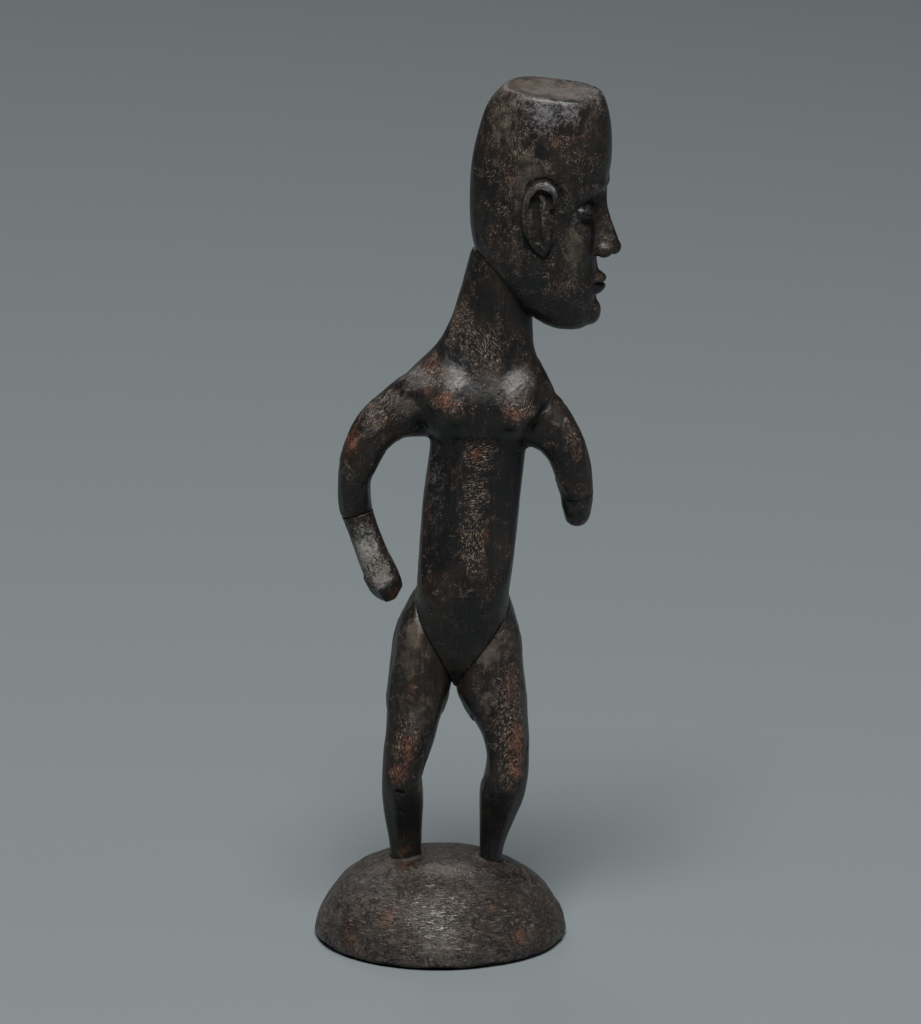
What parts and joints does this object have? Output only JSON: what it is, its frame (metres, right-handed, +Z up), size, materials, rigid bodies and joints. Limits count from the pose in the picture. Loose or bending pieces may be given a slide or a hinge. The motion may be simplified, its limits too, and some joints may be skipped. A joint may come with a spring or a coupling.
{
  "type": "carved ancestor figure",
  "caption": "Carved wooden standing figure, head turned to its left, arms held away from a long trunk, flexed bowed legs let into a domed base.",
  "frame": {"origin": "centre of the domed base's flat underside", "axes": "+Z up; the chest faces -Y; +X is the figure's own left, the side the head is turned to"},
  "size_m": [0.1899, 0.159, 0.5438],
  "materials": {
    "dark_patina_wood": "waxed brown-black patina, worn to red-brown on high spots",
    "brown_patina_wood": "chiselled, thinly patinated brown, half gloss",
    "head_wood": "waxed brown-black patina, paler sawn top",
    "worn_wood": "waxed patina rubbed thin",
    "peg_wood": "bare whittled wood"
  },
  "bodies": {
    "root": {"base_dome": "brown_patina_wood", "right_leg": "dark_patina_wood", "left_leg": "dark_patina_wood", "trunk": "dark_patina_wood", "head": "head_wood", "right_hand": "worn_wood", "left_hand": "dark_patina_wood", "neck_peg": "peg_wood", "hip_peg": "peg_wood", "right_ankle_peg": "peg_wood", "left_ankle_peg": "peg_wood", "right_wrist_peg": "peg_wood", "left_wrist_peg": "peg_wood"}
  },
  "joints": []
}
